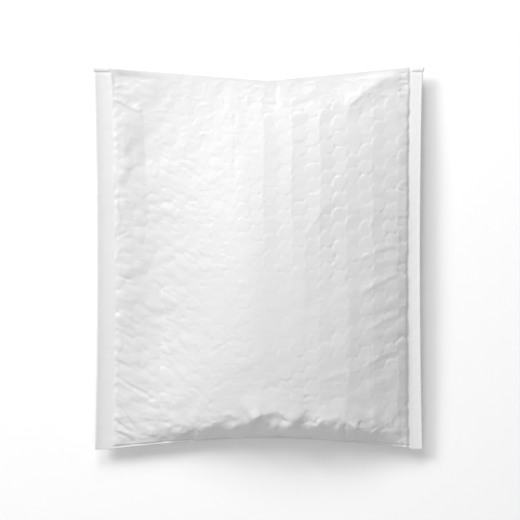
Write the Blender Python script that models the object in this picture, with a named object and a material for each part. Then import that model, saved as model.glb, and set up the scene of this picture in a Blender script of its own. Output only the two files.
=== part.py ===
"""A closed padded mailing envelope, filled, lying on its back on a table.

One sheet of white film lined with bubble wrap is folded at the foot, welded flat down both sides, and shut by
a flap that folds over the head and is glued to the back. Nothing can be seen inside, so it is one solid: the
two walls swell apart between the welded edges, the back is pressed flat where it rests, and the flap shows as
a low step across the back and as a small roll at the head of each welded edge.

Metres, +Z up. The origin is on the table under the envelope's middle, and +Y is the head, where the flap folds.
"""

import math

import bmesh
import bpy

# The empty envelope, as cut and welded.
FLAT_WIDTH = 0.239
FLAT_HEIGHT = 0.277
SEAL_WIDTH = 0.0115
SEAL_THICKNESS = 0.0012
FOLD_THICKNESS = 0.0030
FLAP_LENGTH = 0.050
FLAP_THICKNESS = 0.0008

# What the filling does to it.
FRONT_SWELL = 0.0265
SEAL_LIFT = 0.0130
CORNER_DROP = 0.0040
SIDE_WAIST = 0.0022
HEAD_DIP = 0.0090
FOOT_RISE = 0.0076
RESTING_SLOPE = 0.026
FOLD_ROUNDING = 0.0012

# The roll that the flap's fold makes over the end of each welded edge.
ROLL_RADIUS = 0.0023
ROLL_HEIGHT = 0.0020

# How sharply the front rises: a low power is a long slope, a high one a short steep slope.
SIDE_POWER = 2.2
HEAD_POWER = 2.4
FOOT_POWER = 12.0

BODY_COLUMNS = 24
BODY_ROWS = 22
SEAL_COLUMNS = 3
FLAP_EDGE_GAP = 0.0004

HALF_WIDTH = FLAT_WIDTH / 2
HALF_HEIGHT = FLAT_HEIGHT / 2
SEAM = 1 - SEAL_WIDTH / HALF_WIDTH


def smooth(value):
    """0 to 1 with level ends."""
    value = min(max(value, 0.0), 1.0)
    return value * value * (3 - 2 * value)


def grid_lines():
    """The lines of both sheets: across from -1 to 1, and the distance down from the head fold, in metres."""
    body = [SEAM * math.sin(math.pi / 2 * (2 * i / BODY_COLUMNS - 1)) for i in range(BODY_COLUMNS + 1)]
    seal = [SEAM + (1 - SEAM) * (i + 1) / SEAL_COLUMNS for i in range(SEAL_COLUMNS)]
    across = [-line for line in reversed(seal)] + body + seal
    roll = [0.0, 0.35 * ROLL_RADIUS, ROLL_RADIUS, 1.65 * ROLL_RADIUS, 2 * ROLL_RADIUS]
    under_flap = [0.009, 0.014, 0.021, 0.030, 0.040, FLAP_LENGTH, FLAP_LENGTH + FLAP_EDGE_GAP]
    left = FLAT_HEIGHT - under_flap[-1]
    below = [under_flap[-1] + left * math.sin(math.pi / 2 * (i + 1) / BODY_ROWS) for i in range(BODY_ROWS)]
    return across, roll + under_flap + below


def plan(across, down):
    """Where a point of the flat sheet lies, seen from above, once the filling has drawn the edges in."""
    along = 1 - down / HALF_HEIGHT
    x = across * (HALF_WIDTH - SIDE_WAIST * (1 - along * along))
    drawn_in = (1 - abs(across) ** 1.4) ** 1.3
    edge = HALF_HEIGHT - drawn_in * (HEAD_DIP if along > 0 else FOOT_RISE)
    return x, along * edge


def seal_plane(down):
    """Height of the welded edges' middle above the table: the corners hang lower than the waist."""
    return SEAL_LIFT - CORNER_DROP * (1 - down / HALF_HEIGHT) ** 2


def wall_gap(across):
    """Thickness where the two walls meet: fused at the welded edges, two padded walls at the folds."""
    inside = smooth((SEAM - abs(across)) / 0.06)
    return SEAL_THICKNESS + (FOLD_THICKNESS - SEAL_THICKNESS) * inside


def front_height(across, down):
    body = min(abs(across) / SEAM, 1.0)
    from_foot = 1 - down / FLAT_HEIGHT
    swell = (1 - body**SIDE_POWER) * (1 - from_foot**HEAD_POWER) * (1 - (1 - from_foot) ** FOOT_POWER)
    roll = 0.0
    if abs(across) >= SEAM:
        roll = ROLL_HEIGHT * math.sqrt(max(0.0, 1 - (down / ROLL_RADIUS - 1) ** 2))
    return seal_plane(down) + wall_gap(across) / 2 + FRONT_SWELL * swell + roll


def back_height(across, down):
    """The back slopes from the edges down to the table, and lies flat on it from there in."""
    from_seam = (SEAM - abs(across)) * HALF_WIDTH
    from_fold = min(down, FLAT_HEIGHT - down)
    resting = smooth(from_seam / RESTING_SLOPE) * smooth(from_fold / RESTING_SLOPE)
    height = (seal_plane(down) - wall_gap(across) / 2) * (1 - resting)
    if down <= FLAP_LENGTH:
        return max(0.0, height - FLAP_THICKNESS)
    # Just past the flap's edge the back is held off the table by the flap's own thickness.
    beyond = min((down - FLAP_LENGTH) / RESTING_SLOPE, 1.0)
    return height + FLAP_THICKNESS * resting * (1 - beyond) ** 2


def sheet(shape, height, faces_up):
    """One wall as a grid of quads. Returns the edges of its rim."""
    across, down = grid_lines()
    columns, rows = len(across) - 1, len(down) - 1
    made = bmesh.ops.create_grid(shape, x_segments=columns, y_segments=rows, size=0.5)["verts"]
    for vertex in made:
        column = round((vertex.co.x + 0.5) * columns)
        row = round((0.5 - vertex.co.y) * rows)
        x, y = plan(across[column], down[row])
        vertex.co = (x, y, height(across[column], down[row]))
    faces = list({face for vertex in made for face in vertex.link_faces})
    if not faces_up:
        bmesh.ops.reverse_faces(shape, faces=faces)
    return list({edge for face in faces for edge in face.edges if edge.is_boundary})


def round_folds(shape, rim_faces):
    """Gives the head and foot folds a round nose, by pushing out a middle line of the rim."""
    upright = [e for face in rim_faces for e in face.edges if abs((e.verts[0].co - e.verts[1].co).z) > 1e-5]
    upright = [e for e in set(upright) if len(set(e.link_faces) & set(rim_faces)) == 2]
    cut = bmesh.ops.subdivide_edges(shape, edges=upright, cuts=1)
    for item in cut["geom_inner"]:
        if isinstance(item, bmesh.types.BMVert):
            inside = smooth((SEAM * HALF_WIDTH - abs(item.co.x)) / 0.008)
            item.co.y += math.copysign(FOLD_ROUNDING, item.co.y) * inside


def envelope_mesh():
    shape = bmesh.new()
    front_rim = sheet(shape, front_height, faces_up=True)
    back_rim = sheet(shape, back_height, faces_up=False)
    rim = bmesh.ops.bridge_loops(shape, edges=front_rim + back_rim)["faces"]
    round_folds(shape, rim)
    bmesh.ops.recalc_face_normals(shape, faces=shape.faces)
    mesh = bpy.data.meshes.new("padded_envelope")
    shape.to_mesh(mesh)
    shape.free()
    mesh.shade_smooth()
    mesh.set_sharp_from_angle(angle=math.radians(50))
    return mesh


def white_film():
    material = bpy.data.materials.new("white_film")
    material.use_nodes = True
    surface = material.node_tree.nodes["Principled BSDF"]
    surface.inputs["Base Color"].default_value = (0.84, 0.84, 0.84, 1)
    surface.inputs["Roughness"].default_value = 0.5
    return material


def main():
    for old in list(bpy.data.objects):
        bpy.data.objects.remove(old)
    envelope = bpy.data.objects.new("padded_envelope", envelope_mesh())
    envelope.data.materials.append(white_film())
    bpy.context.scene.collection.objects.link(envelope)


main()
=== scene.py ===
"""The looks of a filled and closed padded mailing envelope, lying on its back.

The envelope is one sheet of white film, lined with bubble wrap, folded at the foot and welded flat down both
sides. Its skin is made here as one closed mesh. The front starts as the form that the filling gives it. Onto
that go wrinkles from a cloth simulation of the flat cut sheet, the bubbles of the lining that show through,
the folds, lumps and creases of its handling, and the puckers along the welds. The back lies on the table.
Metres, +Z up, +Y towards the head, where the flap folds over to the back.
"""

import math

import bpy
import numpy as np
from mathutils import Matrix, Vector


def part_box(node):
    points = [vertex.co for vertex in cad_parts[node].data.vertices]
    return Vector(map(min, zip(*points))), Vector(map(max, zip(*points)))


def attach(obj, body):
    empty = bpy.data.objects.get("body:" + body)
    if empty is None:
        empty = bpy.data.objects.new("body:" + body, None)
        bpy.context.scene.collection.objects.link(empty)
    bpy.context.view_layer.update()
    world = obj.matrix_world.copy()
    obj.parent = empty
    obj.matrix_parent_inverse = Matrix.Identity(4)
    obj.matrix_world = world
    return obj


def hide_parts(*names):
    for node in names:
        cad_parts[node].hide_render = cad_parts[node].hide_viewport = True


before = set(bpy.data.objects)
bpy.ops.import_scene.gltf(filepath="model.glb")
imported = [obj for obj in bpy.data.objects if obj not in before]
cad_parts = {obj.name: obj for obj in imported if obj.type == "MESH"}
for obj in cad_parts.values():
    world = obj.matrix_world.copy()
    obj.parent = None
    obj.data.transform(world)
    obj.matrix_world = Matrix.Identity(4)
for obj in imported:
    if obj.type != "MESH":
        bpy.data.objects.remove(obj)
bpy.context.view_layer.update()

NODE = "padded_envelope"
LOW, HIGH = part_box(NODE)

# ------------------------------------------------------------------ the sheet, as cut and welded
FLAT_LENGTH = 0.277  # foot fold to head fold
BODY_WIDTH = 0.218  # seam to seam
BARE_HEAD = 0.017  # the lining stops short of the head fold
FLAP_LENGTH = 0.050
FLAP_THICKNESS = 0.0006
FILM_GAP = 0.0008  # each wall starts this far from the middle of the seams
WELD_HALF = 0.0004  # half the thickness of a welded strip

# ------------------------------------------------------------------ the form that the filling gives it
FRONT_SWELL = 0.0262
SEAM_HEIGHT = 0.0130
CORNER_DROP = 0.0040
LEFT_SAG = 0.13  # the left flank sags beside its seam, by this share of the swell
HEAD_POWER = 2.8  # how full the swell stays towards the head
FOOT_WALL = 0.0135  # height of the steep wall over the foot fold
WALL_SLOPE = 1.35
WALL_ROUNDING = 0.0017  # at the top of the wall
WALL_SHARE = 0.56  # the rest of the swell rises gently
FOOT_LIP = 0.0008  # the fold itself lies level before the wall rises
LEVEL_HEAD = 0.035  # the share of the length over which the film leaves the head fold level
RESTING_SLOPE = 0.026  # how far in from its rim the back comes down to the table
EDGE_ROOM = 0.0001
HALF_LENGTH = (HIGH[1] - LOW[1]) / 2 - EDGE_ROOM
NOTCH_X = 0.006  # the head fold dips to a blunt notch here
NOTCH_Y = 0.1288
NOTCH_ROUNDING = 0.004
HEAD_RISE_LEFT = 0.081  # how steeply the head fold climbs away from the notch
HEAD_RISE_RIGHT = 0.094
FOOT_MIDDLE_X = 0.005  # the foot fold is drawn in the most here
FOOT_MIDDLE_Y = -0.1304
FOOT_BOW = 0.0079
FOOT_HALF_WIDTH = 0.1107
FULLEST = 0.4  # the share of the length at which the envelope is fullest
DRAWN_WIDTH = 0.97  # swelling draws the sheet in to these shares of its flat width and length
DRAWN_LENGTH = 0.94
PROFILE_STEPS = 400

# ------------------------------------------------------------------ how fine the skin is
BODY_COLUMNS = 246
LEFT_COLUMNS = 12
RIGHT_COLUMNS = 9
ROWS = 333
BACK_STEP = 3  # the back is this much coarser than the front
SIM_COLUMNS = 72
SIM_ROWS = 92


def smooth(value):
    """0 to 1 with level ends."""
    value = np.clip(value, 0.0, 1.0)
    return value * value * (3 - 2 * value)


# ------------------------------------------------------------------ reading coarse grids smoothly


def spline_parts(f):
    """A cubic B-spline's shares of four neighbouring values, f of the way from the second to the third."""
    return (1 - f) ** 3 / 6, (3 * f**3 - 6 * f**2 + 4) / 6, (-3 * f**3 + 3 * f**2 + 3 * f + 1) / 6, f**3 / 6


def spline_weights(places, count):
    """Weights that read count evenly spaced values smoothly at the given places, from 0 to 1."""
    at = np.clip(places, 0, 1) * (count - 1)
    first = np.minimum(at.astype(int), count - 2)
    weights = np.zeros((len(places), count))
    for step, part in enumerate(spline_parts(at - first)):
        column = np.clip(first + step - 1, 0, count - 1)
        np.add.at(weights, (np.arange(len(places)), column), part)
    return weights


def ripple(across, along, cell_across, cell_along, seed):
    """Smooth random relief of unit spread over the sheet, with features about one cell in size."""
    columns = int(BODY_WIDTH / cell_across) + 4
    rows = int(FLAT_LENGTH / cell_along) + 4
    grid = np.random.default_rng(seed).normal(size=(rows, columns))
    read_along = spline_weights(along / FLAT_LENGTH, rows)
    read_across = spline_weights(across / BODY_WIDTH + 0.5, columns)
    relief = read_along @ grid @ read_across.T
    return relief / relief.std()


def billows(x, y, cell_x, cell_y, seed):
    """Soft random pillows with creases between them, at any points: x and y needn't lie on a grid."""
    cells = 96
    grid = np.random.default_rng(seed).normal(size=(cells, cells))
    columns = x / cell_x + cells / 2
    rows = y / cell_y + cells / 2
    first_column = np.floor(columns).astype(int)
    first_row = np.floor(rows).astype(int)
    relief = np.zeros_like(x)
    for i, across_part in enumerate(spline_parts(columns - first_column)):
        for j, up_part in enumerate(spline_parts(rows - first_row)):
            relief += across_part * up_part * grid[(first_row + j) % cells, (first_column + i) % cells]
    return np.abs(relief / relief.std())


# ------------------------------------------------------------------ the filled form


def bowed(a, middle, slant, bow):
    """A line's place across, for a from -1 at the foot to 1 at the head: its ends bow out."""
    return middle + slant * a + bow * a**2


def seam_lines(along):
    """Where the left strip's edge, the two seams and the right strip's edge are, at distances along."""
    a = 2 * along / FLAT_LENGTH - 1
    left_edge = bowed(a, -0.1164, -0.0003, -0.0025)
    left_seam = bowed(a, -0.1037, -0.00055, -0.00255)
    right_seam = bowed(a, 0.1083, 0.00055, 0.00125)
    right_edge = bowed(a, 0.1166, -0.0001, 0.0021) + 0.0004 * smooth((a - 0.85) / 0.15)
    return left_edge, left_seam, right_seam, right_edge


def seam_height(along):
    """The seams stand over the table, lowest at the corners."""
    return SEAM_HEIGHT - CORNER_DROP * (2 * along / FLAT_LENGTH - 1) ** 2


def head_edge(x):
    """The head fold dips to a blunt notch just right of the middle."""
    off = np.sqrt((x - NOTCH_X) ** 2 + NOTCH_ROUNDING**2) - NOTCH_ROUNDING
    rise = np.where(x < NOTCH_X, HEAD_RISE_LEFT, HEAD_RISE_RIGHT)
    return np.minimum(HALF_LENGTH, NOTCH_Y + rise * off)


def foot_edge(x):
    """The foot fold is drawn in at the middle."""
    off = np.abs(x - FOOT_MIDDLE_X) / FOOT_HALF_WIDTH
    return np.maximum(-HALF_LENGTH, FOOT_MIDDLE_Y - FOOT_BOW * off**1.7)


def side_profile(b, f):
    """How the swell falls off to the seams.

    The left flank sags beside its seam, less so near the foot. The right one stays full the longest there.
    """
    from_left = b + 1
    left = (1 + LEFT_SAG) * smooth((from_left - 0.17) / 0.83) - LEFT_SAG * smooth(from_left / 0.34)
    round_left = 1 - np.abs(b) ** 2.2
    left += 0.32 * (round_left - left) * smooth((0.34 - f) / 0.30)
    fullness = 2.1 + 0.7 * smooth((0.62 - f) / 0.40)
    right = 1 - np.abs(b) ** fullness
    return np.where(b < 0, left, right)


def swell(b, f):
    """How far the front stands up, as a share: b is -1 to 1 between the seams, f is 0 at the foot to 1."""
    q = 1 - f
    left_over = q * q / (q + LEVEL_HEAD) * (1 + LEVEL_HEAD)
    head = 1 - (1 - left_over) ** HEAD_POWER
    climb = WALL_SLOPE * np.clip(f * FLAT_LENGTH - FOOT_LIP, 0, 1)
    missing = np.log(np.exp(-climb / WALL_ROUNDING) + math.exp(-FOOT_WALL / WALL_ROUNDING))
    foot = WALL_SHARE * -missing * WALL_ROUNDING / FOOT_WALL + (1 - WALL_SHARE) * (1 - q**5)
    return side_profile(b, f) * head * foot


def even_steps(wanted, profile, span):
    """Where on a swollen profile, as a share of its plan, each share of its real length falls."""
    fine = np.linspace(0, 1, len(profile))
    step = np.hypot(np.diff(fine) * span, np.diff(profile))
    length = np.concatenate([[0], np.cumsum(step)])
    return np.interp(wanted, length / length[-1], fine)


def filled_front(across, along):
    """The front wall, as rows along the sheet of points across it."""
    fine = np.linspace(0, 1, PROFILE_STEPS)
    widthways = FRONT_SWELL * swell(2 * fine - 1, FULLEST)
    lengthways = FRONT_SWELL * swell(0.0, fine)
    side = even_steps(across / BODY_WIDTH + 0.5, widthways, BODY_WIDTH * DRAWN_WIDTH)
    up = even_steps(along / FLAT_LENGTH, lengthways, FLAT_LENGTH * DRAWN_LENGTH)
    side, up = np.meshgrid(side, up)
    flat_up = along[:, None] + 0 * side
    _, left_seam, right_seam, _ = seam_lines(flat_up)
    x = left_seam + (right_seam - left_seam) * side
    # Close to the seams the rows lie as they do on the straight welded strips.
    inside = smooth((1 - np.abs(2 * side - 1)) / 0.5)
    share = flat_up / FLAT_LENGTH * (1 - inside) + up * inside
    y = foot_edge(x) + (head_edge(x) - foot_edge(x)) * share
    z = seam_height(flat_up) + FILM_GAP + FRONT_SWELL * swell(2 * side - 1, share)
    return np.stack([x, y, z], -1)


def filled_back(across, along):
    """The back wall: it slopes from the seams and folds down to the table, and lies flat on it."""
    side = across[None, :] / BODY_WIDTH + 0.5
    flat_up = along[:, None] + 0 * side
    _, left_seam, right_seam, _ = seam_lines(flat_up)
    x = left_seam + (right_seam - left_seam) * side
    y = foot_edge(x) + (head_edge(x) - foot_edge(x)) * flat_up / FLAT_LENGTH
    from_seam = (0.5 - np.abs(side - 0.5)) * BODY_WIDTH
    from_fold = np.minimum(flat_up, FLAT_LENGTH - flat_up)
    resting = smooth(from_seam / RESTING_SLOPE) * smooth(from_fold / RESTING_SLOPE)
    z = (seam_height(flat_up) - FILM_GAP) * (1 - resting)
    return np.stack([x, y, z], -1)


# ------------------------------------------------------------------ wrinkles: the cut sheet as cloth

CLOTH_SCALE = 10.0  # the cloth solver's stiffness suits things a few metres across
SPARE_SHEET = 0.012  # the sheet is this share larger than the form that it covers
HOLD = 0.02  # how firmly the sheet inside its rim is held to the filled form
CLOTH_FRAMES = 26
START_RELIEF = 0.0006  # uneven film for the wrinkles to start from
DRIFT_ROWS = 15  # what a grid as coarse as this can follow is drift, and not a wrinkle
DRIFT_COLUMNS = 12


def quads(index):
    """The four-sided faces of a grid of point numbers."""
    return np.stack([index[:-1, :-1], index[:-1, 1:], index[1:, 1:], index[1:, :-1]], -1).reshape(-1, 4)


def cloth_wrinkles():
    """Moves of the front wall when it is held in its filled form but has the spare sheet of the flat cut."""
    across = np.linspace(-BODY_WIDTH / 2, BODY_WIDTH / 2, SIM_COLUMNS + 1)
    along = np.linspace(0, FLAT_LENGTH, SIM_ROWS + 1)
    still = filled_front(across, along)
    rim = np.ones(still.shape[:2], bool)
    rim[1:-1, 1:-1] = False
    start = still.copy()
    start[..., 2] += np.where(rim, 0, START_RELIEF * ripple(across, along, 0.008, 0.006, seed=3))
    flat = np.stack(np.meshgrid(across, along) + [np.zeros_like(rim, float)], -1)

    mesh = bpy.data.meshes.new("front_cloth")
    index = np.arange(rim.size).reshape(rim.shape)
    mesh.from_pydata((start.reshape(-1, 3) * CLOTH_SCALE).tolist(), [], quads(index).tolist())
    cloth = bpy.data.objects.new("front_cloth", mesh)
    bpy.context.scene.collection.objects.link(cloth)
    cloth.shape_key_add(name="filled", from_mix=False)
    cut = cloth.shape_key_add(name="cut flat", from_mix=False)
    cut.data.foreach_set("co", (flat * CLOTH_SCALE).astype(np.float32).ravel())
    held = cloth.vertex_groups.new(name="held")
    held.add(np.flatnonzero(rim).tolist(), 1.0, "REPLACE")
    held.add(np.flatnonzero(~rim).tolist(), HOLD, "REPLACE")

    settings = cloth.modifiers.new("cloth", "CLOTH").settings
    settings.quality = 8
    settings.tension_stiffness = settings.compression_stiffness = 80
    settings.shear_stiffness = 40
    settings.bending_stiffness = 0.05
    settings.vertex_group_mass = "held"
    settings.pin_stiffness = 1.0
    settings.rest_shape_key = cut
    settings.shrink_min = -SPARE_SHEET
    settings.use_pressure = True
    settings.uniform_pressure_force = 1.0
    settings.effector_weights.gravity = 0
    for moment in range(1, CLOTH_FRAMES + 1):
        bpy.context.scene.frame_set(moment)
    relaxed = cloth.evaluated_get(bpy.context.evaluated_depsgraph_get()).to_mesh()
    moved = np.zeros(rim.size * 3, np.float32)
    relaxed.vertices.foreach_get("co", moved)
    bpy.context.scene.frame_set(1)
    bpy.data.objects.remove(cloth)
    move = moved.reshape(still.shape).astype(float) / CLOTH_SCALE - still
    # Only the wrinkles are wanted: the slow drift of the whole wall is taken off again.
    slow_along = spline_weights(along / FLAT_LENGTH, DRIFT_ROWS)
    slow_across = spline_weights(across / BODY_WIDTH + 0.5, DRIFT_COLUMNS)
    drift = np.stack([slow_along @ np.linalg.pinv(slow_along) @ move[..., k]
                      @ np.linalg.pinv(slow_across).T @ slow_across.T for k in range(3)], -1)
    return move - drift


# ------------------------------------------------------------------ bubbles of the lining

BUBBLE_PITCH = 0.01126
COLUMN_PITCH = BUBBLE_PITCH * math.sqrt(3) / 2
BUBBLE_RADIUS = 0.0055
FIRST_ACROSS = 0.0069  # the middle of the bubble from which the others are counted
FIRST_ALONG = 0.2401
LEAN = math.radians(-32)  # the way in which the squashed bubbles are drawn out
DISC_RISE = 0.00012  # a bubble's flat top over the gaps
TILT_ACROSS = 0.012  # how much the tops lean at random
TILT_ALONG = 0.014
GAP_DEPTH = 0.00015
SERRATION = 0.00009  # fine steps where the film is pulled over the sides of the columns
FACET_CURVE = 3.4  # per metre: how hollow the strips of film between two hinges are


def bubble_lattice(across, along, lean):
    """For each point: its bubble's column and number, the offset from its centre, and how far that is.

    Where lean is 1, the bubbles are drawn out along the LEAN direction and squashed across it.
    """
    best = None
    column = np.round((across - FIRST_ACROSS) / COLUMN_PITCH)
    for step in (-1, 0, 1):
        k = column + step
        shift = np.where(k % 2 == 1, 0.0, 0.5)
        nearest = np.round((along - FIRST_ALONG) / BUBBLE_PITCH - shift)
        for number in (nearest - 1, nearest, nearest + 1):
            dx = across - (FIRST_ACROSS + k * COLUMN_PITCH)
            dy = along - (FIRST_ALONG + (number + shift) * BUBBLE_PITCH)
            length = (dx * math.cos(LEAN) + dy * math.sin(LEAN)) / (1 + 0.16 * lean)
            breadth = (dy * math.cos(LEAN) - dx * math.sin(LEAN)) * (1 + 0.14 * lean)
            away = np.hypot(length, breadth)
            found = (k, number, dx, dy, away)
            if best is None:
                best = found
            else:
                nearer = away < best[4]
                best = [np.where(nearer, new, old) for new, old in zip(found, best)]
    return best


def spot(x, y, middle_x, middle_y, reach_x, reach_y):
    """1 at a place on the sheet, easing off to 0 around it."""
    return np.exp(-(((x - middle_x) / reach_x) ** 2 + ((y - middle_y) / reach_y) ** 2))


def show_through(across, along, x, y, right):
    """How plainly the lining shows: less where the film is stretched or worn smooth, and a little uneven."""
    stretched = spot(x, y, -0.056, 0.100, 0.040, 0.045)
    worn = smooth((0.020 - y) / 0.050) * np.exp(-(((x - 0.030) / 0.055) ** 2))
    low_right = smooth((0.010 - y) / 0.040) * smooth((x - 0.030) / 0.030)
    share = 0.95 + 0.15 * ripple(across, along, 0.018, 0.018, seed=53) - 0.80 * stretched - 0.45 * worn
    share *= 0.70 + 0.30 * right
    share *= 1 - 0.40 * low_right
    return np.clip(share, 0.12, 1.3)


def facets(across, along, x, y, column, dx):
    """On the right half, every second gap between columns is a hinge, with hollow strips of film between."""
    off_middle = dx + np.where(column % 2 == 0, -0.5, 0.5) * COLUMN_PITCH
    uneven = np.clip(1 + 0.3 * ripple(across, along, 0.020, 0.060, seed=54), 0, 1.6)
    hinged = smooth((x + 0.010) / 0.014) * uneven
    hinged *= 1 - 0.6 * smooth((0.030 - y) / 0.060) * smooth((0.065 - x) / 0.030)
    hinged *= smooth((0.114 - y) / 0.014)
    return FACET_CURVE * hinged * off_middle**2


def bubbles(across, along, x, y):
    """Height of the film over the lining: flat discs, each tilted a little, with creased gaps between them.

    On the left the lining is squashed: its bubbles are drawn out aslant, and their tops are soft pillows.
    """
    left = smooth((-0.030 - x) / 0.055)
    right = smooth((x + 0.012) / 0.085)
    warp = 0.0005 + 0.0006 * left
    warped_across = across[None, :] + warp * ripple(across, along, 0.011, 0.009, seed=51)
    warped_along = along[:, None] + warp * ripple(across, along, 0.010, 0.010, seed=52)
    column, number, dx, dy, away = bubble_lattice(warped_across, warped_along, left)
    dice = np.random.default_rng(11)
    columns = (column - column.min()).astype(int)
    numbers = (number - number.min()).astype(int)
    shape = (columns.max() + 1, numbers.max() + 1)
    tilt_across, tilt_along, lift = dice.normal(size=(3, *shape))
    pick = (columns, numbers)
    middle = FIRST_ALONG + number * BUBBLE_PITCH
    lining_end = FLAT_LENGTH - BARE_HEAD - 0.003 * np.sin(columns * 1.9)
    lined = (middle < lining_end) & (middle > 0.004)

    disc = 1 - smooth((away - BUBBLE_RADIUS * 0.93) / (BUBBLE_RADIUS * 0.16))
    slope_across = TILT_ACROSS * tilt_across[pick] - 0.006 * right
    slope_along = TILT_ALONG * tilt_along[pick] + 0.007 * right - 0.006 * left
    proud = DISC_RISE + 0.00002 * right
    top = proud * (1 + 0.35 * lift[pick]) + slope_across * dx + slope_along * dy
    dome = np.clip(1 - (away / BUBBLE_RADIUS) ** 2, 0, 1)
    pillow = (0.00004 + 0.00028 * left) * (1 + 0.4 * lift[pick]) * dome
    open_gap = np.clip(ripple(across, along, 0.0070, 0.0070, seed=21) + 0.6, 0, 2) * (1 - disc)
    crevice = -GAP_DEPTH * open_gap * (1 - 0.7 * smooth(-x / 0.040))

    between = smooth((np.abs(dx) - 0.0030) / 0.0014)
    serrated = smooth(ripple(across, along, 0.012, 0.014, seed=55) - 0.1)
    serration = SERRATION * ripple(across, along, 0.0040, 0.0014, seed=22) * between * serrated
    relief = show_through(across, along, x, y, right) * (disc * top + pillow + crevice) + serration
    return lined * relief + facets(across, along, x, y, column, dx)


# ------------------------------------------------------------------ folds and dents


def to_line(x, y, points):
    """Distance to a line through points, positive on its left, how far along that is, and its length."""
    best = None
    done = 0.0
    for (x0, y0), (x1, y1) in zip(points, points[1:]):
        length = math.hypot(x1 - x0, y1 - y0)
        way_x = (x1 - x0) / length
        way_y = (y1 - y0) / length
        held = np.clip((x - x0) * way_x + (y - y0) * way_y, 0, length)
        away = np.hypot(x - x0 - held * way_x, y - y0 - held * way_y)
        side = np.where((y - y0) * way_x - (x - x0) * way_y >= 0, 1.0, -1.0)
        if best is None:
            best = [away, side, done + held]
        else:
            nearer = away < best[0]
            found = (away, side, done + held)
            best = [np.where(nearer, new, old) for new, old in zip(found, best)]
        done += length
    return best[0] * best[1], best[2], done


def fold(x, y, points, height, left, right, fade=6, power=2):
    """A fold pressed into the film: a sharp line that goes up or down and eases off to its left and right.

    The points, height, widths to each side and fade of the ends are in millimetres.
    """
    points = [(x_mm / 1000, y_mm / 1000) for x_mm, y_mm in points]
    away, run, whole = to_line(x, y, points)
    width = np.where(away >= 0, left, right) / 1000
    ease = np.clip(1 - np.abs(away) / width, 0, 1) ** power
    ends = smooth(1000 * run / fade) * smooth(1000 * (whole - run) / fade)
    return height / 1000 * ease * ends


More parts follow.
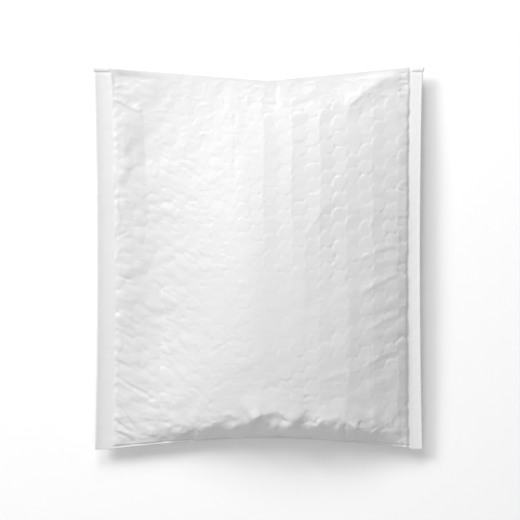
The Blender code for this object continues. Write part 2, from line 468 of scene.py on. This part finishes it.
# Each fold, in millimetres seen from above: the points of its line, its height, and its widths to the left
# and right of the way it runs. Some also give the fade of their ends, and the power of the easing sideways.
PRESSED_FOLDS = (
    # the lining hinges along the columns of bubbles, and the film creases with it
    (((-15.0, 113), (-18.5, 108), (-17.0, 102), (-17.2, 48)), -0.18, 2.4, 2.4, 12),
    (((60.4, 51), (45, 34), (33.0, 15), (32.6, -45)), 0.60, 12, 25, 15),
    (((64.5, -10), (64.8, -94)), 0.38, 10, 25, 15),
    (((79.0, -58), (79.0, -104)), 0.15, 2, 2),
    (((-71.0, -30), (-71.0, -100)), -0.5, 25, 12, 20),
    # the head's left corner is pressed into a flat facet
    (((-80, 50), (-82.0, 68), (-82.9, 80), (-82.5, 97), (-84.5, 105), (-91.0, 111.5), (-95.0, 119),
      (-98.0, 126), (-101.5, 137), (-110, 165)), -2.2, 15, 32, 28, 1),
    (((-106.5, 115.4), (-100.5, 113.2), (-95.5, 110.4), (-91.0, 108.4), (-84.0, 105.8)), 0.8, 7, 2.0, 3),
    (((-92.4, 124.0), (-87.5, 113.5)), 0.5, 2, 3),
    (((-107, 123.2), (-97, 126.4)), 0.7, 5, 1.3),
    (((-106, 130.6), (-99, 131.5)), -0.5, 2, 3),
    # the head's right corner sags between the fold and the first bubbles
    (((58.0, 104), (66.0, 110.6), (74, 117.5), (81.0, 123.4), (89.0, 128.4), (104, 134.0)),
     1.7, 18, 12, 15, 1.5),
    (((80.5, 118.2), (93, 117.0), (108.2, 117.3)), 0.45, 8, 1.8),
    (((101.5, 133.6), (108.5, 134.6)), -0.7, 1.6, 1.6, 2),
    (((101.0, 129.6), (108.5, 128.4)), -0.9, 1.6, 1.8, 2),
    (((102.0, 124.6), (108.5, 125.6)), -0.7, 1.5, 1.5, 2),
    (((101.0, 121.4), (108.5, 120.4)), -0.8, 1.6, 1.6, 2),
    (((87, 127), (92, 122.5)), -0.5, 2, 1.5),
    (((84, 123), (90, 120)), -0.4, 1.5, 1.5),
    # a lobe folds over itself at the middle of the head
    (((14.6, 109.0), (12.4, 117.7), (13.3, 124.7), (11.0, 129.5)), -0.6, 8, 2.4, 3, 1.5),
    (((2.0, 112.0), (8.0, 110.8), (15.0, 109.4)), -0.4, 4, 1.6, 3),
    (((14.3, 110.8), (21.9, 107.9), (34.2, 112.9), (44.3, 116.8)), -0.25, 4, 4),
    # gathers that run in from the left seam
    (((-105.3, 13.6), (-98, 17.6), (-92.0, 20.4)), -0.5, 2.5, 2.0),
    (((-101.5, 48), (-99.5, 33), (-95, 26), (-89, 21)), -0.5, 3, 1.8),
    (((-104.5, -12.5), (-90, -16.6)), -0.6, 3, 2),
    (((-106.0, -36.0), (-95, -43.5), (-84.5, -50.5)), -0.8, 3, 2.5),
    (((-84.5, -51.5), (-71.2, -41.0)), -0.15, 2, 2),
    (((-104.0, -51.0), (-92, -58.0), (-78.0, -70.0)), -0.5, 2.5, 2),
    (((-104.2, -73.6), (-90.0, -81.0)), -0.6, 2.5, 2),
    (((-105.0, -84.0), (-93.1, -92.4), (-85.9, -96.0), (-81.5, -98.2), (-78.6, -101.8), (-72.8, -101.8)),
     -0.9, 3, 2),
    (((-90.9, -93.8), (-87.3, -98.9), (-80.8, -101.1), (-77.9, -103.2)), 0.7, 2, 5),
    (((-94.5, -101.1), (-88.0, -104.7), (-82.2, -106.2)), -0.5, 3, 3),
    (((-104.9, -106.9), (-100.3, -108.3), (-96.7, -114.1), (-90.2, -122.0)), -0.9, 3, 2.5),
    (((-105.4, -111.9), (-101.8, -115.5), (-96.0, -121.3), (-91.6, -124.2)), 0.8, 2.5, 2),
    (((-104.9, -117.0), (-100.3, -119.9), (-96.7, -123.5), (-89.5, -127.1)), -0.9, 2.5, 2.5),
    (((-105.9, -123.0), (-100.3, -125.0), (-94.5, -127.1), (-89.5, -132.2)), 1.3, 5, 2.5),
    (((-106.1, -130.7), (-100.3, -132.2)), -0.7, 2, 2),
    # gathers that run in from the right seam
    (((70.5, -26.3), (82.3, -19.0), (102.5, -10.2)), 0.42, 8, 5),
    (((69.5, -2.4), (83.0, 5.0), (100, 10)), 0.35, 6, 3.5),
    (((76, -52), (90, -44), (104, -40)), 0.35, 6, 3.5),
    (((74, -78), (90, -69), (106, -66)), 0.35, 6, 3.5),
    (((96.0, 51.0), (108.2, 47.0)), -0.6, 2, 2.5),
    (((98.0, 29.5), (108.0, 27.4)), -0.5, 2, 2.5),
    (((97.0, -6.0), (108.0, -3.0)), -0.6, 2.5, 2),
    (((96.5, -62.0), (103, -56.5), (108.5, -58.6)), -0.7, 2.5, 2),
    (((105.4, -109.0), (108.4, -102.2)), -0.7, 1.8, 1.8),
    (((105.7, -118.4), (108.4, -111.8)), -0.7, 1.8, 1.8),
    (((104.8, -128.6), (108.9, -123.6)), -0.9, 1.8, 1.8),
    # long soft folds across the middle
    (((-38.4, -69.6), (-14.0, -55.0)), -0.22, 2.5, 3),
    (((20.5, 0.5), (14.7, -11.8)), 0.2, 2, 2),
    (((-37, -96), (-17, -84.5)), -0.15, 3, 3),
    (((42, -88), (66, -79)), 0.2, 4, 4),
    # the foot is crushed: from the left, a rough corner, a dent, a bright spur and two more dents
    (((-71.4, -122.8), (-62.7, -121.0), (-55.5, -118.2), (-49.7, -120.6)), 0.3, 5, 5),
    (((-65.5, -122.5), (-56, -122.0), (-45.4, -125.4)), -0.35, 4, 5),
    (((-77.6, -122.8), (-72.2, -128.6)), -0.4, 3, 3),
    (((-44.0, -121.5), (-33, -119), (-26.0, -115.0)), 0.4, 4, 5),
    (((-29.0, -112.5), (-20, -111.5), (-13, -115)), 0.5, 4, 4),
    (((-9.9, -120.6), (-4.9, -116.3), (-1.3, -112.3), (2.3, -114.1)), 1.5, 7, 2.5, 4, 1.3),
    (((-4.9, -127.5), (-3.5, -120.0), (-0.5, -112.5)), -1.7, 7, 6, 6, 1.2),
    (((-8, -116), (-0.5, -111.5), (11, -109), (19.3, -113), (27, -121)), 2.2, 18, 9, 6, 1.1),
    (((12.5, -109.0), (15.4, -111.9), (20.4, -117.0)), -0.7, 1.4, 1.6, 2),
    (((14.0, -108.6), (20.0, -111.6)), 0.3, 4, 2, 3),
    (((29.8, -117.0), (33.4, -119.9), (36.3, -123.5)), -0.5, 1.3, 1.3, 3),
    (((27.0, -112.0), (37.6, -126.2)), 0.5, 8, 7, 7, 1.2),
    (((40.7, -120.1), (41.4, -114.8), (44.8, -113.2)), -0.8, 2, 1.5, 3),
    (((38, -121), (45.6, -115), (57.1, -113.5), (67, -119.5), (73, -124)), 1.5, 14, 8, 6, 1.1),
    (((41.6, -117.0), (47.9, -120.6), (53.7, -120.0), (58.3, -114.0)), -0.9, 4, 5, 7, 1.2),
    (((50.0, -128.6), (60.0, -129.4), (68, -130.0)), 1.6, 10, 3, 6, 1.1),
    (((45.0, -124.2), (52.5, -125.4)), -0.8, 2.5, 2.5),
    (((56.6, -114.0), (57.3, -122.8), (56.6, -129.3)), 0.8, 3.5, 4.5, 4, 1.2),
    (((61.6, -130.5), (60.9, -122.8), (62.0, -119.1), (63.8, -117.2)), -0.9, 3, 2.5, 3),
    (((63.8, -117.3), (71.0, -122.0), (77.5, -124.9), (86.2, -128.6)), 1.1, 5, 2.5),
    (((66.0, -123.5), (74.5, -126.5)), -1.0, 3, 3),
    (((70.0, -121.9), (73.9, -115.5)), -1.0, 2.0, 3.2, 3),
    (((81.2, -124.0), (84.1, -120.2)), -0.5, 2, 2.5, 3),
    # two specks caught under the film
    (((26.9, 18.9), (28.5, 18.9)), 0.35, 1.3, 1.3, 0.4),
    (((46.0, 42.6), (46.8, 41.4)), 0.25, 1.2, 1.2, 0.4),
)


def pressed_folds(x, y):
    return sum(fold(x, y, *settings) for settings in PRESSED_FOLDS)


# ------------------------------------------------------------------ lumps, flecks and crinkles


LARGE_LUMPS = 0.0009
SMALL_LUMPS = 0.0004
SUNK = 0.0006  # the film between the lumps is pressed in


def lumps(x, y):
    """The foot is crushed: uneven lumps stand over the wall above its fold, lower ones near its ends."""
    large = LARGE_LUMPS * billows(x, y, 0.0125, 0.0085, seed=75) - SUNK
    small = SMALL_LUMPS * billows(x, y, 0.0060, 0.0045, seed=77)
    near_foot = smooth((-0.110 - y) / 0.010) * (1 - 0.7 * smooth((np.abs(x) - 0.060) / 0.020))
    return (large + small) * near_foot


FLECK_COLUMNS = range(-11, -2)  # the columns of bubbles on the left half, and the bubbles in each
FLECK_NUMBERS = range(-9, 20)
FLECKS_FROM = -102  # millimetres: how far up bubble number 0 of a column lies
FLECK_SCATTER = 1.3  # millimetres
FLECK_REACH = 4.2  # millimetres to each side of its middle
FLECK_DEPTH = 0.20
PILLOW_HEIGHT = 0.00021


def flecks(x, y):
    """On the squashed left half, soft pillows, and a short slanting crease under each bubble.

    They are fainter in the head's left quarter, where the film is stretched flat.
    """
    dice = np.random.default_rng(71)
    relief = np.zeros_like(x)
    for column in FLECK_COLUMNS:
        for number in FLECK_NUMBERS:
            jitter_x, jitter_y, turn, depth = dice.normal(size=4)
            shift = 0.5 * (column % 2 == 0)
            middle_x = 1000 * (FIRST_ACROSS + column * COLUMN_PITCH) + FLECK_SCATTER * jitter_x
            middle_y = 1000 * (number + shift) * BUBBLE_PITCH + FLECKS_FROM + FLECK_SCATTER * jitter_y
            slant = LEAN + 0.22 * turn
            reach = FLECK_REACH + 1.0 * jitter_x * jitter_y
            reach_x = reach * math.cos(slant)
            reach_y = reach * math.sin(slant)
            ends = [(middle_x - reach_x, middle_y - reach_y), (middle_x + reach_x, middle_y + reach_y)]
            weight = np.clip(0.9 + 0.55 * depth, 0, 2) * min(1, max(0, (-22 - middle_x) / 45))
            relief += fold(x, y, ends, -FLECK_DEPTH * weight, 1.3, 2.4, 3)
    aslant = x * math.cos(LEAN) + y * math.sin(LEAN)
    upward = y * math.cos(LEAN) - x * math.sin(LEAN)
    leftward = 0.2 + 0.8 * smooth((-0.020 - x) / 0.060)
    pillows = PILLOW_HEIGHT * billows(aslant, upward, 0.0062, 0.0042, seed=73) * leftward
    return (relief + pillows) * (1 - 0.6 * spot(x, y, -0.055, 0.105, 0.045, 0.040))


# Each layer of crinkles: its seed, how large it is, in metres, and its height, in millimetres.
CRINKLES = (
    (61, 0.0060, 0.28),
    (63, 0.0040, -0.24),
    (65, 0.0085, 0.30),
    (67, 0.0050, 0.25),
)


def crinkles(across, along, x, y):
    """Faint wavy creases, where smooth random relief changes sign, broken up.

    There are more of them where the film is slack, which is at the head and most of all on the foot wall.
    """
    slack = 0.18 + 0.82 * spot(x, y, -0.055, 0.090, 0.045, 0.055)
    slack = np.maximum(slack, smooth((y - 0.100) / 0.015)) + 1.3 * smooth((-0.112 - y) / 0.008)
    relief = np.zeros_like(x)
    for seed, cell, height in CRINKLES:
        field = ripple(across, along, cell, cell * 0.8, seed)
        broken = smooth(ripple(across, along, cell * 0.9, cell, seed + 1) - 0.15)
        relief += height / 1000 * np.exp(-np.abs(field) / 0.20) * broken
    return relief * slack


# ------------------------------------------------------------------ beside the welds


WELD_PUCKERS = 0.00028
LONG_PUCKERS = 0.00018  # these run further in


def seam_puckers(across, along):
    """Short gathers square to each seam, where the film is drawn into the weld."""
    side = np.meshgrid(across, along)[0]
    relief = np.zeros_like(side)
    for sign, seed in ((-1, 31), (1, 32)):
        inward = BODY_WIDTH / 2 - sign * side
        near_weld = ripple(across, along, 0.0030, 0.0021, seed) * np.exp(-inward / 0.0016)
        further = ripple(across, along, 0.0080, 0.0026, seed + 4) * np.exp(-inward / 0.0070)
        relief += (WELD_PUCKERS * near_weld + LONG_PUCKERS * further) * smooth(inward / 0.0007)
    return relief


def seam_valley(across, along):
    """The film drops into a narrow valley inside each weld, deeper on the right, and over the foot fold."""
    side, from_foot = np.meshgrid(across, along)
    at_left = 0.0003 * np.exp(-(((side + BODY_WIDTH / 2) / 0.0015) ** 2))
    at_right = 0.0011 * np.exp(-(((BODY_WIDTH / 2 - side) / 0.0013) ** 2))
    at_foot = 0.0005 * np.exp(-(((from_foot - 2 * FOOT_LIP) / 0.0007) ** 2))
    return -at_left - at_right - at_foot


# ------------------------------------------------------------------ the walls in full


def row_lines():
    """Distances up from the foot fold: even rows, closer together at both folds."""
    place = np.linspace(0, 1, ROWS + 1)
    spacing = 1 - 0.55 * smooth((place - 0.955) / 0.02) - 0.35 * smooth((0.02 - place) / 0.012)
    length = np.concatenate([[0], np.cumsum((spacing[1:] + spacing[:-1]) / 2)])
    return FLAT_LENGTH * length / length[-1]


def normals_of(points):
    """The way out of a wall at each of its points."""
    normal = np.cross(np.gradient(points, axis=1), np.gradient(points, axis=0))
    return normal / np.linalg.norm(normal, axis=-1, keepdims=True)


def rim_fade(across, along, width=0.004):
    """0 on the seams and folds, 1 from a little way in."""
    sideways = smooth((BODY_WIDTH / 2 - np.abs(across)) / width)
    lengthways = smooth(np.minimum(along, FLAT_LENGTH - along) / width)
    return lengthways[:, None] * sideways[None, :]


def front_wall(across, along, wrinkles):
    """The filled front, its wrinkles, which are looser at the seams and the foot, and its finer relief."""
    points = filled_front(across, along)
    read_along = spline_weights(along / FLAT_LENGTH, SIM_ROWS + 1)
    read_across = spline_weights(across / BODY_WIDTH + 0.5, SIM_COLUMNS + 1)
    x, y = points[..., 0], points[..., 1]
    from_side = np.minimum(x + 0.104, 0.109 - x)
    loose = 0.18 + 0.14 * smooth((0.045 - from_side) / 0.04) + 0.25 * smooth((-0.100 - y) / 0.02)
    for k in range(3):
        points[..., k] += loose * (read_along @ wrinkles[..., k] @ read_across.T)
    fade = rim_fade(across, along)
    height = bubbles(across, along, x, y) * fade
    handling = pressed_folds(x, y) + lumps(x, y) + flecks(x, y) + crinkles(across, along, x, y)
    head_fade = smooth((FLAT_LENGTH - along[:, None]) / 0.006)
    height += handling * rim_fade(across, along, 0.0015) * head_fade
    height += seam_puckers(across, along) + seam_valley(across, along)
    return points + normals_of(points) * height[..., None]


TABLE_GAP = 0.0002
RESTING_LIFT = 0.0006  # room for the bubbles where the back lies on the table
BACK_BUBBLES = 0.8  # how plainly the lining shows on the back
FLAP_BUBBLES = 0.35  # and through the flap


def back_wall(across, along):
    """The back, with the flap's extra layer over its head end."""
    points = filled_back(across, along)
    x, y = points[..., 0], points[..., 1]
    flap = along[:, None] > FLAT_LENGTH - FLAP_LENGTH
    show = np.where(flap, FLAP_BUBBLES, BACK_BUBBLES)
    bumps = bubbles(across, along, -x, y) * show * rim_fade(across, along, 0.008)
    raised = points[..., 2] - np.where(flap, FLAP_THICKNESS, 0.0) * rim_fade(across, along, 0.003)
    lift = RESTING_LIFT * smooth(1 - raised / 0.002)
    points[..., 2] = np.maximum(TABLE_GAP, raised - bumps + lift)
    return points


# ------------------------------------------------------------------ the welded strips

ROLL = 0.0017  # radius of the roll that the flap's fold makes over the strip's end
MARK_PITCH = 0.0016  # the faint marks of the welding bar
MARK_HEIGHT = 0.00006
MARK_COLUMNS = 6


def strip(along, seam, edge, height, weights, faces_up):
    """A welded strip, from the seam out to its edge. weights are 0 at the seam to 1 at the edge."""
    rows, w = np.meshgrid(along, weights, indexing="ij")
    x = seam[:, None] + (edge - seam)[:, None] * w
    y = -HALF_LENGTH + 2 * HALF_LENGTH * rows / FLAT_LENGTH
    return np.stack([x, y, height(rows, w) + (WELD_HALF if faces_up else -WELD_HALF)], -1)


def left_strip_height(rows, w):
    """The left strip is almost level, with its edge curled up a little."""
    return seam_height(rows) - 0.0006 * w + 0.0018 * w**3


def right_strip_height(rows, w):
    """The right strip droops near the foot, curls up at its edge and has a faint crease along its middle."""
    crease = 0.0002 * np.clip(1 - np.abs(w - 0.5) / 0.3, 0, 1)
    head = smooth((rows - 0.15) / 0.08)
    droop = 0.0022 * (1 - head) * w
    curl = (0.0029 - 0.0014 * head) * w**2
    return seam_height(rows) - droop + curl + crease


def head_roll(points, along, weights, reach):
    """The flap's fold stands over the end of the strip as a small roll, a little wider than the strip."""
    from_head = FLAT_LENGTH - along[:, None]
    around = np.clip(1 - (from_head / ROLL - 1) ** 2, 0, 1) ** 0.5
    outer = smooth(weights[None, :] * 6)
    valley = np.exp(-(((from_head - 2.35 * ROLL) / 0.0007) ** 2))
    points[..., 2] += (0.0007 * around - 0.0002 * valley) * outer
    points[..., 0] += reach * around * weights[None, :] ** 2


def weld_marks(points, along, seed):
    """Faint unevenness that the welding bar leaves."""
    rows = int(FLAT_LENGTH / MARK_PITCH) + 4
    grid = np.random.default_rng(seed).normal(size=(rows, MARK_COLUMNS))
    read_across = spline_weights(np.linspace(0, 1, points.shape[1]), MARK_COLUMNS)
    marks = spline_weights(along / FLAT_LENGTH, rows) @ grid @ read_across.T
    points[..., 2] += MARK_HEIGHT * marks


# ------------------------------------------------------------------ the whole skin


def whole_front(along, wrinkles):
    """The front wall between its two strips, as rows from the left edge to the right one."""
    left_edge, left_seam, right_seam, right_edge = seam_lines(along)
    left_w = np.linspace(1, 0, LEFT_COLUMNS + 1)[:-1]
    right_w = np.linspace(0, 1, RIGHT_COLUMNS + 1)[1:]
    left = strip(along, left_seam, left_edge, left_strip_height, left_w, True)
    right = strip(along, right_seam, right_edge, right_strip_height, right_w, True)
    head_roll(left, along, left_w, -0.0010)
    head_roll(right, along, right_w, 0.0008)
    weld_marks(left, along, seed=41)
    weld_marks(right, along, seed=42)
    across = np.linspace(-BODY_WIDTH / 2, BODY_WIDTH / 2, BODY_COLUMNS + 1)
    return np.concatenate([left, front_wall(across, along, wrinkles), right], axis=1)


def whole_back(along):
    """The back wall between the undersides of the two strips."""
    left_edge, left_seam, right_seam, right_edge = seam_lines(along)
    left_w = np.linspace(1, 0, LEFT_COLUMNS // BACK_STEP + 1)[:-1]
    right_w = np.linspace(0, 1, RIGHT_COLUMNS // BACK_STEP + 1)[1:]
    left = strip(along, left_seam, left_edge, left_strip_height, left_w, False)
    right = strip(along, right_seam, right_edge, right_strip_height, right_w, False)
    across = np.linspace(-BODY_WIDTH / 2, BODY_WIDTH / 2, BODY_COLUMNS // BACK_STEP + 1)
    return np.concatenate([left, back_wall(across, along), right], axis=1)


def loop_around(index):
    """A grid's border as one closed loop, anticlockwise seen from above."""
    return np.concatenate([index[0, :-1], index[:-1, -1], index[-1, :0:-1], index[:0:-1, 0]])


def weld_share(wall, left_columns, right_columns):
    """1 on the welded strips, 0 on the body, for each point of a wall."""
    share = np.zeros(wall.shape[:2])
    share[:, : left_columns + 1] = 1
    share[:, -right_columns - 1 :] = 1
    return share.ravel()


def skin_mesh():
    """Front and back as one closed skin. Along the rim, several front edges meet each edge of the back."""
    along = row_lines()
    front = whole_front(along, cloth_wrinkles())
    back = whole_back(along[::BACK_STEP])
    front_index = np.arange(front.shape[0] * front.shape[1]).reshape(front.shape[:2])
    back_index = front_index.size + np.arange(back.shape[0] * back.shape[1]).reshape(back.shape[:2])
    faces = quads(front_index).tolist() + quads(back_index)[:, ::-1].tolist()
    outer = loop_around(front_index).tolist()
    inner = loop_around(back_index).tolist()
    for i in range(len(inner)):
        front_run = [outer[(BACK_STEP * i + step) % len(outer)] for step in range(BACK_STEP, -1, -1)]
        faces.append(front_run + [inner[i], inner[(i + 1) % len(inner)]])
    mesh = bpy.data.meshes.new("envelope_skin")
    points = np.concatenate([front.reshape(-1, 3), back.reshape(-1, 3)])
    mesh.from_pydata(points.tolist(), [], faces)
    mesh.shade_smooth()
    weld = np.concatenate([weld_share(front, LEFT_COLUMNS, RIGHT_COLUMNS),
                           weld_share(back, LEFT_COLUMNS // BACK_STEP, RIGHT_COLUMNS // BACK_STEP)])
    mesh.attributes.new("weld", "FLOAT", "POINT").data.foreach_set("value", weld.astype(np.float32))
    return mesh


# ------------------------------------------------------------------ shader building


class Signal:
    """A shader socket that can be added, multiplied and compared in plain Python."""

    def __init__(self, nodes, socket):
        self.nodes = nodes
        self.socket = socket

    def math(self, operation, *others):
        values = {i + 1: other for i, other in enumerate(others)}
        return self.nodes.add("ShaderNodeMath", {"operation": operation}, {0: self, **values})

    def __add__(self, other):
        return self.math("ADD", other)

    __radd__ = __add__

    def __sub__(self, other):
        return self.math("SUBTRACT", other)

    def __rsub__(self, other):
        return self.math("MULTIPLY_ADD", -1.0, other)

    def __mul__(self, other):
        return self.math("MULTIPLY", other)

    __rmul__ = __mul__


class Nodes:
    """A material's node tree."""

    def __init__(self, name):
        self.material = bpy.data.materials.new(name)
        self.material.use_nodes = True
        self.tree = self.material.node_tree
        self.surface = self.tree.nodes["Principled BSDF"]

    def add(self, kind, settings=None, sockets=None, output=0):
        node = self.tree.nodes.new(kind)
        for key, value in (settings or {}).items():
            setattr(node, key, value)
        for key, value in (sockets or {}).items():
            self.put(node.inputs[key], value)
        return Signal(self, node.outputs[output])

    def put(self, socket, value):
        if isinstance(value, Signal):
            self.tree.links.new(value.socket, socket)
        else:
            socket.default_value = value

    def finish(self, **sockets):
        for key, value in sockets.items():
            self.put(self.surface.inputs[key.replace("_", " ")], value)
        return self.material


def white_film():
    """Thin white film: neutral, satin, with a fine grain, and a little greyer where it isn't welded."""
    nodes = Nodes("white_film")
    place = nodes.add("ShaderNodeTexCoord", output="Object")

    def grain(scale, detail):
        settings = {"Vector": place, "Scale": scale, "Detail": detail, "Roughness": 0.6}
        return nodes.add("ShaderNodeTexNoise", None, settings)

    cloudy = grain(25.0, 2.0)
    weld = nodes.add("ShaderNodeAttribute", {"attribute_name": "weld"}, output="Fac")
    brightness = 0.73 + 0.02 * cloudy - 0.025 * (1 - weld)
    color = nodes.add("ShaderNodeCombineColor", None, {0: brightness, 1: brightness, 2: brightness})
    fine = grain(900.0, 3.0) * 0.25 + grain(260.0, 3.0)
    bump = nodes.add("ShaderNodeBump", None, {"Strength": 0.22, "Distance": 0.0006, "Height": fine})
    return nodes.finish(Base_Color=color, Roughness=0.42 + 0.08 * cloudy, Normal=bump)


def pale_floor():
    nodes = Nodes("pale_floor")
    return nodes.finish(Base_Color=(0.97, 0.97, 0.97, 1), Roughness=0.9)


# ------------------------------------------------------------------ the stage

FLOOR_REACH = 1.6
VIEW_WIDTH = 0.376
VIEW_HEIGHT = 0.012  # the view is VIEW_WIDTH wide this high over the table
VIEW_MIDDLE = (0.0009, -0.0013)
LENS = 110.0
SENSOR = 36.0


def add_floor():
    """The table top that the envelope lies on."""
    mesh = bpy.data.meshes.new("floor")
    corners = [(x * FLOOR_REACH, y * FLOOR_REACH, 0) for x, y in ((-1, -1), (1, -1), (1, 1), (-1, 1))]
    mesh.from_pydata(corners, [], [(0, 1, 2, 3)])
    mesh.materials.append(pale_floor())
    floor = bpy.data.objects.new("floor", mesh)
    bpy.context.scene.collection.objects.link(floor)


def add_light(name, azimuth, elevation, distance, size, watts):
    """A square soft box that faces the envelope. Azimuth is measured from +X, anticlockwise."""
    light = bpy.data.lights.new(name, "AREA")
    light.size = size
    light.energy = watts
    box = bpy.data.objects.new(name, light)
    turn = math.radians(azimuth)
    flat = distance * math.cos(math.radians(elevation))
    height = distance * math.sin(math.radians(elevation))
    box.location = (flat * math.cos(turn), flat * math.sin(turn), height)
    box.rotation_euler = (math.radians(90 - elevation), 0, turn + math.pi / 2)
    bpy.context.scene.collection.objects.link(box)


def add_studio():
    """A large low light from the head's left, a smaller one beside it, and two weak ones to fill in."""
    add_light("key_box", azimuth=140, elevation=35, distance=2.4, size=0.83, watts=34.3)
    add_light("head_box", azimuth=100, elevation=35, distance=1.3, size=0.45, watts=6.8)
    add_light("side_box", azimuth=10, elevation=55, distance=1.6, size=0.8, watts=1.4)
    add_light("foot_box", azimuth=270, elevation=70, distance=1.4, size=0.8, watts=4.0)
    scene = bpy.context.scene
    scene.world = bpy.data.worlds.new("studio")
    scene.world.use_nodes = True
    background = scene.world.node_tree.nodes["Background"]
    background.inputs["Color"].default_value = (1, 1, 1, 1)
    background.inputs["Strength"].default_value = 0.28
    scene.view_settings.view_transform = "Standard"


def add_camera():
    """Straight above, far enough away that the edges aren't seen from the side."""
    camera = bpy.data.objects.new("camera", bpy.data.cameras.new("camera"))
    camera.data.lens = LENS
    camera.data.sensor_width = SENSOR
    camera.location = (*VIEW_MIDDLE, VIEW_HEIGHT + VIEW_WIDTH * LENS / SENSOR)
    bpy.context.scene.collection.objects.link(camera)
    bpy.context.scene.camera = camera


def main():
    """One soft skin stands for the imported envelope."""
    envelope = bpy.data.objects.new("envelope_skin", skin_mesh())
    envelope.data.materials.append(white_film())
    bpy.context.scene.collection.objects.link(envelope)
    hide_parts(NODE)
    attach(envelope, "root")
    add_floor()
    add_studio()
    add_camera()


main()
